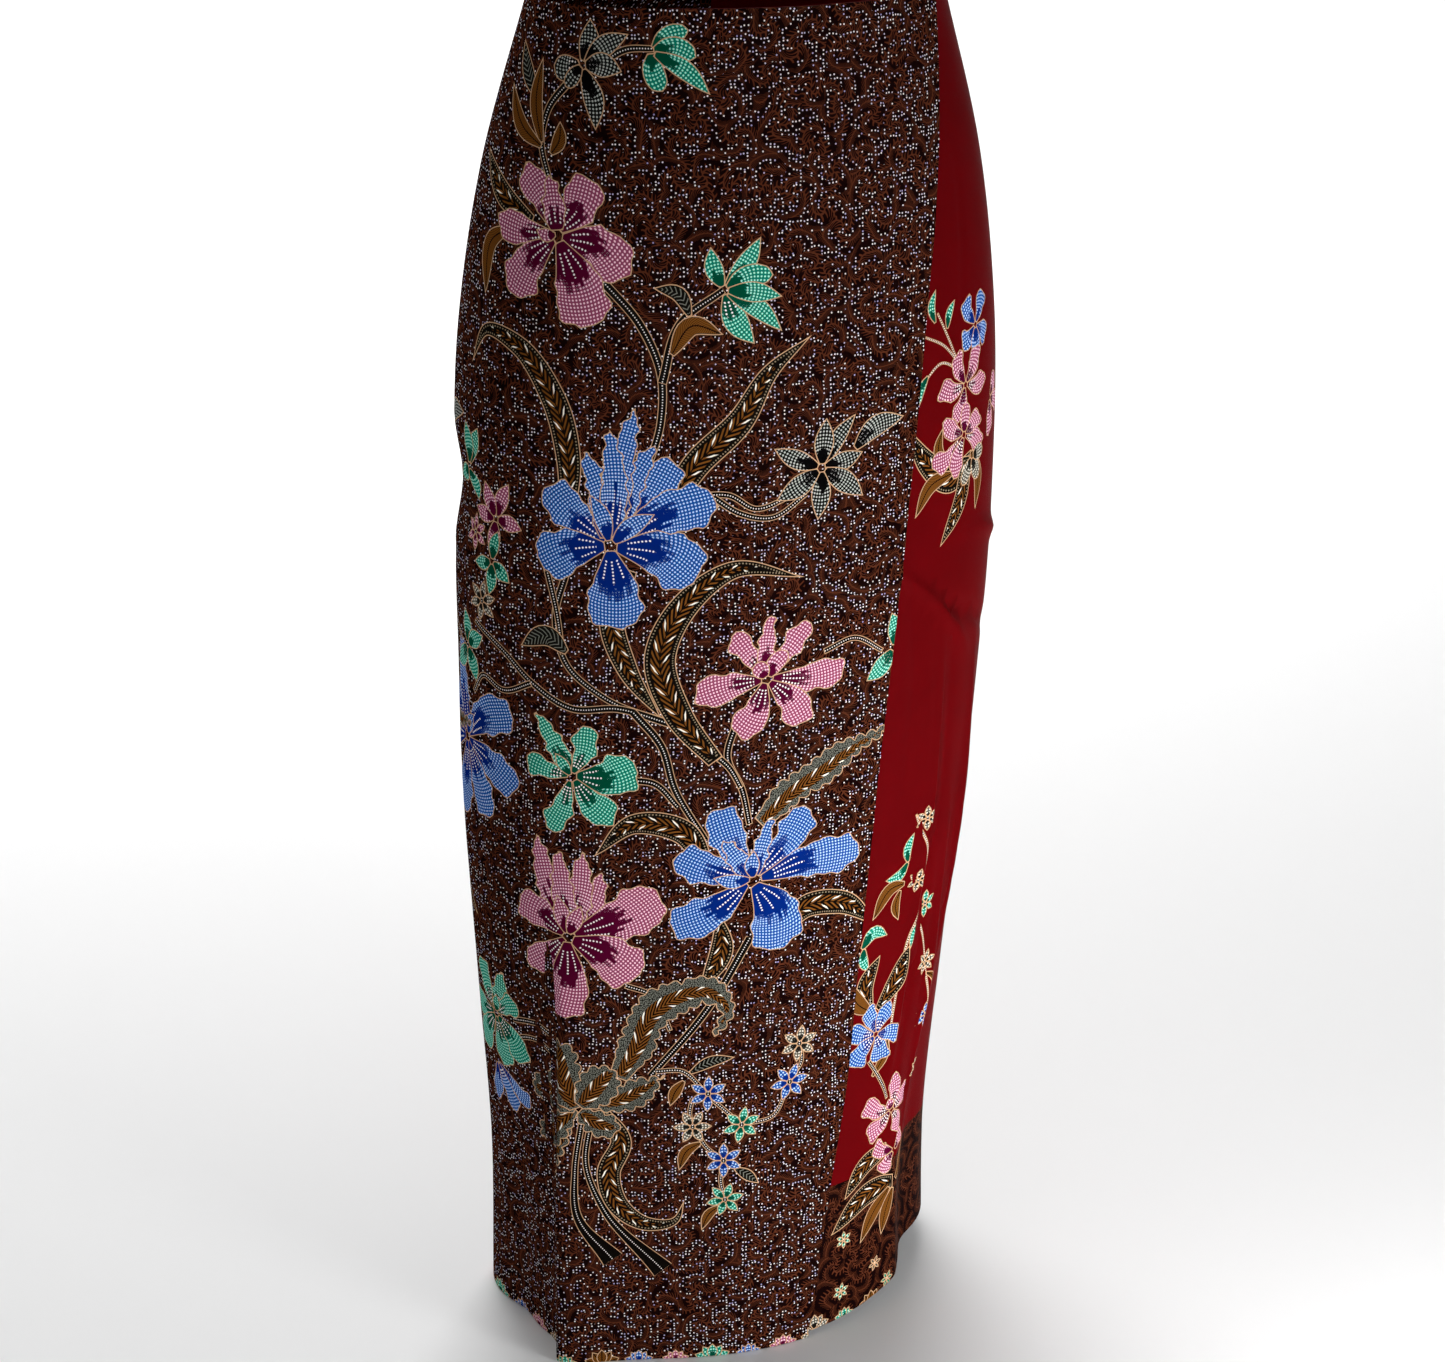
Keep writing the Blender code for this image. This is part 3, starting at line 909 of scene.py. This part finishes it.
# Stems and leaves under the flowers. Their spines are places on the flat cloth, in millimetres.
# kind, half_width, the spine's places
GREENERY = (
    ("stem", 2.7, (-139, 44), (-155, 62), (-160, 81), (-154, 104)),
    ("stem", 2.5, (-118, 33), (-101, 24), (-84, 23)),
    ("ribbed leaf", 6, (-164, 56), (-174, 42), (-181, 24)),
    ("leaf", 5.5, (-160, 82), (-165, 58), (-160, 32)),
    ("bent leaf", 6.5, (-160, 84), (-176, 74), (-190, 50)),
    ("leaf", 5, (-153, 88), (-147, 80), (-146, 68)),
    ("bent leaf", 9, (-166, 128), (-188, 118), (-216, 92)),
    ("leaf", 6.5, (-186, 136), (-203, 146), (-208, 180)),
    ("stem", 3.1, (-122, 160), (-96, 190), (-84, 219), (-84, 251), (-96, 290)),
    ("stem", 3.1, (-83, 226), (-71, 188), (-44, 168)),
    ("ribbed leaf", 5, (-65, 184), (-72, 170), (-88, 166)),
    ("leaf", 6.5, (-77, 208), (-64, 190), (-44, 196)),
    ("long leaf", 9, (-146, 318), (-144, 278), (-154, 238), (-178, 208), (-206, 202), (-222, 226)),
    ("long leaf", 9.5, (-84, 318), (-62, 280), (-33, 252), (-14, 222), (14, 200)),
    ("grey leaf", 7.5, (46, 278), (60, 266), (84, 262)),
    ("stem", 2.3, (-60, 300), (-40, 301), (-23, 311), (0, 305)),
    ("stem", 2.3, (-50, 302), (-34, 313), (-12, 318), (12, 304)),
    ("long leaf", 8.5, (-104, 350), (-116, 384), (-106, 418), (-82, 455)),
    ("stem", 2.7, (-147, 356), (-154, 383), (-146, 419), (-121, 440), (-74, 458)),
    ("stem", 2.4, (-161, 350), (-153, 384), (-149, 412)),
    ("ribbed leaf", 7.5, (-146, 410), (-160, 400), (-180, 410)),
    ("stem", 2.8, (-74, 459), (-111, 448), (-143, 450), (-172, 435), (-192, 419), (-222, 402)),
    ("stem", 2.4, (-172, 436), (-196, 446), (-214, 440), (-226, 456)),
    ("stem", 2.8, (-31, 458), (-37, 484), (-26, 510), (-20, 536)),
    ("stem", 2.6, (-46, 482), (-36, 492), (-27, 508)),
    ("long leaf", 10.5, (-45, 487), (-71, 452), (-84, 411), (-70, 377), (-38, 352), (12, 361)),
    ("stem", 2.2, (28, 416), (50, 410), (74, 424)),
    ("slim frill", 13, (-12, 537), (6, 521), (31, 506), (56, 492), (84, 482)),
    ("stem", 3, (-101, 450), (-82, 474), (-72, 506), (-50, 545)),
    ("stem", 2.8, (-108, 500), (-86, 502), (-69, 520)),
    ("long leaf", 9, (-48, 566), (-66, 538), (-98, 532), (-126, 558)),
    ("long leaf", 9.5, (6, 622), (26, 605), (52, 608), (84, 634)),
    ("leaf", 8.5, (-38, 606), (-36, 630), (-50, 660)),
    ("stem", 3.3, (-16, 622), (-44, 674), (-84, 726)),
    ("stem", 2.2, (-102, 655), (-82, 664), (-70, 690)),
    ("stem", 2.4, (-196, 702), (-173, 698), (-152, 708), (-143, 724)),
    ("stem", 2.2, (-196, 717), (-176, 711), (-160, 716), (-148, 730)),
    ("cut stem", 4.4, (-132, 760), (-138, 803), (-137, 837), (-112, 874)),
    ("cut stem", 4.4, (-126, 762), (-130, 796), (-118, 832), (-76, 884)),
    ("long leaf", 8.5, (-118, 754), (-105, 778), (-114, 803), (-107, 830), (-88, 845), (-67, 843),
     (-60, 826)),
    ("long frill", 14, (-106, 728), (-92, 701), (-84, 680), (-66, 665), (-44, 662), (-31, 675), (-38, 694)),
    ("frill", 9.5, (-128, 746), (-108, 746), (-90, 737), (-74, 725)),
    ("frill", 5, (-140, 762), (-149, 783), (-166, 816)),
    ("lobe", 10, (-137, 752), (-152, 768), (-178, 792)),
    ("lobe", 12, (-136, 752), (-150, 745), (-182, 752)),
    ("lobe", 14, (-136, 752), (-145, 731), (-149, 702)),
    ("lobe", 12.5, (-134, 750), (-124, 738), (-110, 720)),
    ("lobe", 9.5, (-134, 754), (-122, 763), (-108, 768)),
    ("stem", 2, (-80, 722), (-62, 722), (-46, 738)),
    ("ribbed leaf", 4.5, (-56, 724), (-42, 716), (-24, 714)),
    ("leaf", 4.5, (-60, 730), (-66, 738), (-70, 750)),
    ("stem", 1.8, (-54, 744), (-56, 756), (-54, 766)),
    ("stem", 1.8, (-44, 742), (-30, 756), (-19, 768)),
    ("stem", 1.8, (-16, 768), (4, 766), (16, 744)),
    ("stem", 1.8, (24, 712), (26, 726), (17, 740)),
    ("stem", 1.8, (-52, 768), (-44, 784), (-32, 794)),
    ("stem", 1.8, (-32, 796), (-34, 812), (-31, 826)),
    ("leaf", 4.5, (-48, 780), (-58, 786), (-64, 802)),
    ("ribbed leaf", 4.2, (-24, 802), (-16, 808), (-6, 818)),
    ("leaf", 4, (-34, 832), (-42, 838), (-48, 852)),
)
# centre, dye, petals (tip_across, tip_down, half_width, bend, and the outline if it is not fall)
FLOWERS = (
    ((-130, 34), "grey", (
        (-124, 7, 7, -2, "pointed"), (-99, 15, 6.5, 2, "pointed"), (-104, 37, 7.5, 2, "pointed"),
        (-151, 36, 8, 2, "round"), (-122, 72, 7, 3, "pointed"), (-142, 48, 5, 0, "round"),
    )),
    ((-86, 24), "green", (
        (-62, 12, 5.5, 3, "round"), (-79, 48, 7, -2, "round"), (-58, 28, 6.5, 4, "round"),
        (-50, 50, 6, 3, "pointed"),
    )),
    ((-149, 136), "pink", (
        (-128, 100, 13, -4), (-174, 98, 11, -3), (-154, 100, 8, 0, "standard"),
        (-196, 132, 10.5, 2), (-182, 176, 13.5, -4), (-106, 160, 15, 8),
        (-130, 192, 17.5, 3), (-164, 134, 4.5, 2, "pointed"),
    )),
    ((-44, 168), "green", (
        (-52, 141, 6, 2, "pointed"), (-20, 136, 6.5, -2, "pointed"), (-24, 203, 8, -3, "pointed"),
        (-6, 196, 6.5, 3, "pointed"), (-12, 160, 7, 4, "round"), (-6, 174, 6.5, 1, "pointed"),
    )),
    ((22, 288), "grey", (
        (46, 255, 6, 2, "pointed"), (25, 255, 7, 0, "pointed"), (52, 281, 6.5, -1, "pointed"),
        (53, 311, 7.5, 1, "pointed"), (20, 323, 7, 1, "pointed"), (-9, 307, 7.5, 1, "pointed"),
        (-11, 272, 6.5, 1, "pointed"),
    )),
    ((-117, 333), "blue", (
        (-76, 276, 12.5, -3), (-158, 296, 13.5, 3), (-134, 272, 10, -4, "standard"),
        (-88, 266, 10, 4, "standard"), (-100, 243, 10, 3, "standard"), (-117, 256, 9, -3, "standard"),
        (-49, 304, 15.5, 5),
        (-165, 350, 16.5, -4), (-60, 356, 18.5, 7), (-114, 391, 18.5, 1),
        (-130, 300, 6, -2, "pointed"), (-88, 312, 6.5, 2, "pointed"),
    )),
    ((-12, 430), "pink", (
        (-36, 396, 8, 0), (16, 393, 8, 0), (-10, 384, 6.5, 2, "standard"),
        (44, 430, 11, -3), (-60, 440, 11.5, -2), (16, 466, 11.5, 3),
        (-30, 470, 11.5, 3), (2, 412, 6.5, 2, "round"), (-20, 418, 6, 0, "round"),
    )),
    ((84, 424), "green", (
        (80, 398, 6.5, -2, "pointed"), (62, 444, 7.5, 2, "pointed"), (96, 448, 7, 1, "pointed"),
        (104, 412, 7, 1, "pointed"),
    )),
    ((-16, 578), "blue", (
        (-42, 522, 13, 3), (22, 530, 13, -3), (-70, 556, 13, 2),
        (-4, 532, 6.5, 1, "standard"), (-38, 546, 7.5, 0, "standard"), (64, 570, 14.5, 4),
        (-72, 610, 15, 5), (4, 634, 19.5, 7), (-16, 556, 5.5, 1, "pointed"),
        (-44, 574, 5.5, 2, "pointed"),
    )),
    ((-142, 500), "green", (
        (-168, 456, 7.5, -1, "standard"), (-132, 462, 9, -3), (-176, 492, 8.5, 1),
        (-98, 490, 15, -4), (-112, 530, 11.5, -3), (-158, 542, 9, 2),
        (-154, 484, 4.5, 0, "pointed"),
    )),
    ((-240, 494), "blue", (
        (-246, 418, 11, 3, "standard"), (-188, 462, 15, 6), (-186, 520, 13, 5),
        (-214, 548, 13, 4), (-284, 468, 14, -4), (-286, 512, 15, -4),
        (-252, 556, 13, 2), (-228, 474, 6, 1, "pointed"),
    )),
    ((-143, 620), "pink", (
        (-120, 570, 10, -4, "standard"), (-168, 548, 10, 3, "standard"),
        (-134, 556, 10, -3, "standard"), (-152, 556, 9, 0, "standard"), (-184, 602, 13, -3),
        (-176, 650, 11, 2), (-80, 586, 18, -4), (-95, 650, 17.5, 5),
        (-148, 682, 16.5, 3), (-152, 590, 6.5, 0, "pointed"), (-134, 596, 6, 0, "pointed"),
    )),
    ((-217, 706), "green", (
        (-234, 668, 10, 2), (-206, 668, 9, -2, "standard"), (-252, 708, 11, 2),
        (-244, 744, 11, -2), (-190, 690, 9, 2), (-212, 748, 11, 2),
        (-188, 736, 12, 3), (-214, 690, 5, 0, "pointed"),
    )),
    ((-224, 748), "blue", (
        (-232, 782, 7, 2), (-186, 770, 7.5, -3), (-206, 784, 8, 0),
    )),
    ((-200, 326), "pink", (
        (-188, 300, 6, 1, "pointed"), (-178, 330, 6, 1, "pointed"), (-206, 352, 6, 1, "pointed"),
        (-222, 322, 6, 1, "pointed"), (-210, 302, 6, 1, "pointed"),
    )),
    ((-204, 356), "green", (
        (-198, 334, 5, 1, "pointed"), (-188, 368, 6, 1, "pointed"), (-206, 380, 6, 1, "pointed"),
        (-222, 360, 5.5, 1, "pointed"),
    )),
    ((-226, 296), "green", (
        (-216, 268, 6.5, 1, "pointed"), (-232, 266, 6.5, -1, "pointed"), (-218, 318, 6, 1, "pointed"),
        (-242, 306, 6.5, 1, "pointed"),
    )),
)
# centre, dye, reach, turn
STARS = (
    ((24, 712), "slate", 14.5, 8.0), ((17, 741), "blue", 15.0, 22.0), ((-43, 741), "blue", 14.5, 2.0),
    ((-19, 768), "green", 14.5, 12.0), ((-54, 767), "slate", 14.0, 30.0), ((-32, 795), "blue", 14.5, 0.0),
    ((-31, 827), "green", 14.0, 18.0), ((-214, 386), "slate", 15.0, 10.0), ((-222, 340), "pink", 13.0, 0.0),
)


def drawn(greenery, flowers, stars):
    """All shapes of a bouquet or a spray, the lowest first."""
    shapes = [ribbon(spine, half_width, *KINDS[kind]) for kind, half_width, *spine in greenery]
    for flower in flowers:
        shapes += petals_of(*flower)
    for star in stars:
        shapes += star_of(*star)
    return shapes


# Half flowers along the hem, from left to right. None stands for leaves.
HEM_DYES = ("pink", "slate", "green", None, "blue", "pink", "green", "blue")
HEM_STEP = 27.0
# aside, up and half_width of each petal, as shares of the flower's size
HEM_FANS = (
    (-1.0, 0.35, 0.5), (1.0, 0.35, 0.5), (-0.55, 0.85, 0.42), (0.55, 0.85, 0.42), (0.0, 1.0, 0.45),
)


def hem_flowers(first, last, down):
    """Half flowers and leaves along the hem, which cuts them."""
    shapes = []
    for number in range(int(first // HEM_STEP), int(last // HEM_STEP) + 1):
        middle = (number + 0.5) * HEM_STEP
        dye = HEM_DYES[number % len(HEM_DYES)]
        size = 11.0 + 2.0 * math.sin(2.3 * number)
        for aside, up, wide in HEM_FANS:
            tip = (middle + aside * size, down - up * size)
            fill = PETAL if dye else LEAF
            shapes.append(ribbon(((middle, down), tip), wide * size * 0.7, "pointed", fill, dye))
    return shapes


def over_edge():
    """The cut of the over wrap on the flat cloth: waist, back joint, hem and slanting free edge."""
    full = LENGTH / MM
    downs = np.arange(0.0, full + 0.1, OVER_STEP)
    free = [(across_of(float(column_of(FREE_EDGE, 1, -d * MM)), d), d) for d in downs]
    joint = [(across_of(BACK_JOINT_ANGLE, d), d) for d in downs]
    waist = np.arange(joint[0][0] + OVER_STEP, free[0][0] - 0.5 * OVER_STEP, OVER_STEP)
    hem = np.arange(joint[-1][0] + OVER_STEP, free[-1][0] - 0.5 * OVER_STEP, OVER_STEP)
    loop = free + [(a, full) for a in hem[::-1]] + joint[::-1] + [(a, 0.0) for a in waist]
    return np.array(loop)


def over_depth(angle):
    """The over wrap sinks to the under wrap's level towards the back."""
    return WALL_AND_GAP * smooth((SINK_ANGLE - angle) / (SINK_ANGLE - BACK_JOINT_ANGLE))


REPEAT_ACROSS = -318.0
over_shapes = drawn(GREENERY, FLOWERS, STARS)
over_shapes += [moved(shape, REPEAT_ACROSS, 0.0) for shape in over_shapes]
over_shapes += hem_flowers(-620.0, 90.0, 962.0)
over_material = cotton("brown_batik_cotton", brown_ground, 0.62, 0.0, 0.25)
over_wrap = make_cloth(
    "batik_over_wrap", over_edge(), over_shapes, over_depth, over_material, OVER_NET_STEP
)
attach(over_wrap, "root")
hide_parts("over_wrap")


# The under wrap: the red stretch, from the back round the right side and on under the front. Sprays
# of small flowers lie on its plain red, and a brown border runs along its hem.
RED_GROUND = paint(93, 5, 9)
BORDER_TOP = 0.838
UNDER_STEP = 6.0
UNDER_NET_STEP = 3.6

# kind, half_width, the spine's places
SPRAY_GREENERY = (
    ("stem", 1, (138, 238), (120, 222), (103, 214)),
    ("stem", 1, (138, 240), (124, 216), (114, 200)),
    ("stem", 1, (138, 242), (118, 234), (102, 244)),
    ("green leaf", 3.6, (112, 206), (108, 196), (112, 184)),
    ("green leaf", 3.6, (124, 212), (126, 202), (132, 194)),
    ("green leaf", 3.6, (106, 240), (100, 248), (98, 260)),
    ("long leaf", 10, (158, 306), (134, 316), (108, 300), (88, 272)),
    ("leaf", 6, (134, 312), (112, 316), (98, 336)),
    ("long leaf", 8, (150, 304), (146, 330), (124, 362)),
    ("leaf", 5, (128, 308), (118, 292), (122, 278)),
    ("leaf", 6, (156, 302), (168, 322), (166, 346)),
    ("stem", 1, (138, 626), (122, 650), (112, 690), (104, 740)),
    ("stem", 0.9, (118, 560), (130, 590), (132, 630), (148, 690), (154, 736), (146, 786)),
    ("leaf", 3.4, (150, 700), (160, 708), (164, 722)),
    ("green leaf", 3.4, (134, 646), (124, 654), (120, 668)),
    ("green leaf", 5, (114, 596), (106, 604), (92, 604)),
    ("green leaf", 4.5, (114, 596), (112, 586), (118, 574)),
    ("leaf", 6, (112, 612), (98, 612), (82, 632)),
    ("leaf", 4.5, (108, 616), (104, 626), (108, 640)),
    ("green leaf", 5.5, (74, 652), (84, 642), (98, 648)),
    ("green leaf", 4.5, (76, 652), (76, 662), (82, 672)),
    ("bent leaf", 9, (86, 704), (80, 686), (92, 662)),
    ("leaf", 8.5, (92, 706), (108, 690), (120, 664)),
    ("leaf", 7, (86, 706), (72, 694), (66, 676)),
    ("leaf", 4.5, (90, 760), (100, 748), (104, 732)),
    ("stem", 1.8, (86, 746), (96, 762), (106, 784)),
    ("long leaf", 8.5, (108, 826), (86, 832), (66, 854)),
    ("long leaf", 10, (116, 858), (88, 858), (54, 880)),
    ("leaf", 6.5, (112, 862), (96, 876), (82, 898)),
    ("leaf", 6, (116, 864), (108, 882), (104, 900)),
    ("leaf", 7, (120, 858), (134, 846), (138, 828)),
)
# centre, dye, petals (tip_across, tip_down, half_width, bend, and the outline if it is not fall)
SPRAY_FLOWERS = (
    ((158, 216), "blue", (
        (144, 196, 7, 2), (168, 194, 7, -2), (140, 226, 7, 2),
        (176, 226, 7.5, 0), (160, 240, 6.5, 0, "pointed"),
    )),
    ((146, 254), "pink", (
        (136, 230, 7, 3), (160, 230, 7.5, -3), (118, 250, 8, 4),
        (174, 254, 8, -3), (132, 276, 7.5, 4),
    )),
    ((146, 288), "pink", (
        (124, 274, 7.5, 3), (112, 302, 8, 5), (138, 316, 8, -3),
        (170, 302, 8, 3), (166, 276, 7.5, -2), (148, 266, 6, 0, "round"),
    )),
    ((186, 272), "pink", (
        (200, 258, 7, 0), (208, 280, 7.5, 0), (188, 298, 7.5, 0),
    )),
    ((158, 306), "slate", (
        (146, 324, 6, 0, "round"), (168, 324, 6, 0, "round"), (174, 304, 6, 0, "round"),
    )),
    ((92, 726), "blue", (
        (66, 716, 8.5, 2), (82, 702, 7.5, -1), (106, 706, 8, 2),
        (70, 746, 9.5, -2), (96, 750, 9, 2), (114, 732, 7.5, 0),
    )),
    ((112, 796), "pink", (
        (84, 780, 8, 4), (86, 808, 8.5, 3), (114, 768, 8, -3),
        (136, 790, 8.5, 2), (120, 818, 8, 3), (108, 786, 5, 0, "pointed"),
    )),
    ((116, 832), "pink", (
        (94, 820, 7, 2), (104, 848, 7.5, -2), (132, 822, 7.5, 0),
    )),
)
# centre, dye, reach, turn
SPRAY_STARS = (
    ((128, 566), "slate", 10.0, 0.0), ((124, 614), "slate", 9.0, 15.0), ((142, 640), "green", 11.0, 5.0),
    ((148, 690), "slate", 10.0, 20.0), ((152, 736), "blue", 11.0, 0.0), ((150, 780), "slate", 10.0, 12.0),
    ((66, 888), "green", 7.5, 0.0), ((98, 922), "slate", 6.5, 20.0), ((64, 932), "green", 7.5, 10.0),
    ((112, 942), "green", 7.0, 30.0),
)
# The sprays come again round the side, at other heights: across, down
SPRAY_REPEATS = ((0.0, 0.0), (150.0, -46.0), (298.0, 12.0), (420.0, -30.0))


def under_edge():
    """The cut of the under wrap on the flat cloth, whose hem rises a little towards the front."""
    full = LENGTH / MM
    last = BACK_JOINT_ANGLE + 360.0
    angles = np.linspace(INNER_LAP_ANGLE, last, 96)
    hem = [(across_of(a, full), full - float(column_of(UNDER_HEM, 1, a)) / MM) for a in angles]
    waist = [(across_of(a, 0.0), 0.0) for a in angles]
    downs = np.arange(UNDER_STEP, full - UNDER_STEP, UNDER_STEP)
    inner = [(across_of(INNER_LAP_ANGLE, d), d) for d in downs if d < hem[0][1] - 0.5 * UNDER_STEP]
    joint = [(across_of(last, d), d) for d in downs]
    return np.array(waist + joint + hem[::-1] + inner[::-1])


def under_depth(angle):
    return np.full(angle.shape, WALL_AND_GAP)


def red_ground(cloth, places):
    """Plain red, and below it the brown border with its dim leaves and small pale sprigs."""
    cloud = cloth.node("ShaderNodeTexNoise", {"noise_dimensions": "2D"},
                       {"Vector": places, "Scale": 22.0, "Detail": 2.0})
    red = cloud.mixed(RED_GROUND, paint(84, 4, 7))
    border = brown_ground(cloth, places, 1.5)
    below = places.part(1) > BORDER_TOP
    return below.mixed(red, border)


under_material = cotton("red_batik_cotton", red_ground, 0.42, 0.002, 0.2)
spray = drawn(SPRAY_GREENERY, SPRAY_FLOWERS, SPRAY_STARS)
under_shapes = [moved(shape, *repeat) for repeat in SPRAY_REPEATS for shape in spray]
under_shapes += hem_flowers(40.0, 620.0, 956.0)
under_wrap = make_cloth(
    "batik_under_wrap", under_edge(), under_shapes, under_depth, under_material, UNDER_NET_STEP
)
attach(under_wrap, "root")
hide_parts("under_wrap")


# The stage: a pale floor and backdrop, soft studio lamps and the camera at the photo's angle
CAMERA_TURN = math.radians(-18.0)
CAMERA_AWAY = 1.7
CAMERA_HEIGHT = 0.227
AIM_HEIGHT = -0.483
SIDE_STEP = -0.0105
LENS = 64.3
STAGE_GAP = 0.0005

along_picture = Vector((math.cos(CAMERA_TURN), math.sin(CAMERA_TURN), 0.0))
eye = Vector((math.sin(CAMERA_TURN), -math.cos(CAMERA_TURN), 0.0)) * CAMERA_AWAY
eye = eye + along_picture * SIDE_STEP + Vector((0.0, 0.0, CAMERA_HEIGHT))
aim = along_picture * SIDE_STEP + Vector((0.0, 0.0, AIM_HEIGHT))
camera_data = bpy.data.cameras.new("camera")
camera_data.lens = LENS
camera_data.sensor_width = 36.0
camera = bpy.data.objects.new("camera", camera_data)
camera.location = eye
camera.rotation_euler = (aim - eye).to_track_quat("-Z", "Y").to_euler()
bpy.context.scene.collection.objects.link(camera)
bpy.context.scene.camera = camera


def pale_floor():
    """A pale floor just below the hem, whose far rim curves up all round as the backdrop."""
    low = -LENGTH - STAGE_GAP
    flat_reach, rim_reach, rim_height, steps = 3.0, 5.0, 3.4, 12
    profile = [(0.0, low), (flat_reach, low)]
    for step in range(1, steps + 1):
        turn = 0.5 * math.pi * step / steps
        out = flat_reach + (rim_reach - flat_reach) * math.sin(turn)
        profile.append((out, low + rim_height * (1.0 - math.cos(turn))))
    sides = 72
    points, faces = [(0.0, 0.0, low)], []
    for reach, height in profile[1:]:
        for side in range(sides):
            turn = 2.0 * math.pi * side / sides
            points.append((reach * math.cos(turn), reach * math.sin(turn), height))
    for side in range(sides):
        ahead = (side + 1) % sides
        faces.append((0, 1 + side, 1 + ahead))
        for ring in range(len(profile) - 2):
            near, far = 1 + ring * sides, 1 + (ring + 1) * sides
            faces.append((near + side, far + side, far + ahead, near + ahead))
    mesh = bpy.data.meshes.new("floor")
    mesh.from_pydata(points, [], faces)
    mesh.shade_smooth()
    floor = bpy.data.objects.new("floor", mesh)
    bpy.context.scene.collection.objects.link(floor)
    material = bpy.data.materials.new("floor_paint")
    material.use_nodes = True
    shader = material.node_tree.nodes["Principled BSDF"]
    shader.inputs["Base Color"].default_value = (0.9, 0.9, 0.9, 1.0)
    shader.inputs["Roughness"].default_value = 0.9
    mesh.materials.append(material)


def lamp(name, place, size, power, aim_at=None):
    """A soft square lamp that looks at a point, or without one a ball that shines all round."""
    data = bpy.data.lights.new(name, "AREA" if aim_at else "POINT")
    data.energy = power
    light = bpy.data.objects.new(name, data)
    light.location = place
    if aim_at:
        data.shape = "SQUARE"
        data.size = size
        way = Vector(aim_at) - Vector(place)
        light.rotation_euler = way.to_track_quat("-Z", "Y").to_euler()
    else:
        data.shadow_soft_size = 0.5 * size
    light.visible_camera = False
    bpy.context.scene.collection.objects.link(light)


pale_floor()
lamp("key_lamp", (0.46, -0.85, -0.82), 0.3, 32.0)
lamp("back_lamp", (0.6, 2.4, 0.9), 1.8, 6.0, (0.0, 0.0, -0.5 * LENGTH))
lamp("backdrop_lamp", (0.2, 2.8, 2.6), 3.0, 180.0, (-0.3, 3.2, -0.9))
world = bpy.data.worlds.new("studio")
bpy.context.scene.world = world
world.use_nodes = True
world.node_tree.nodes["Background"].inputs["Color"].default_value = (1.0, 1.0, 1.0, 1.0)
world.node_tree.nodes["Background"].inputs["Strength"].default_value = 0.08
bpy.context.scene.view_settings.view_transform = "Standard"
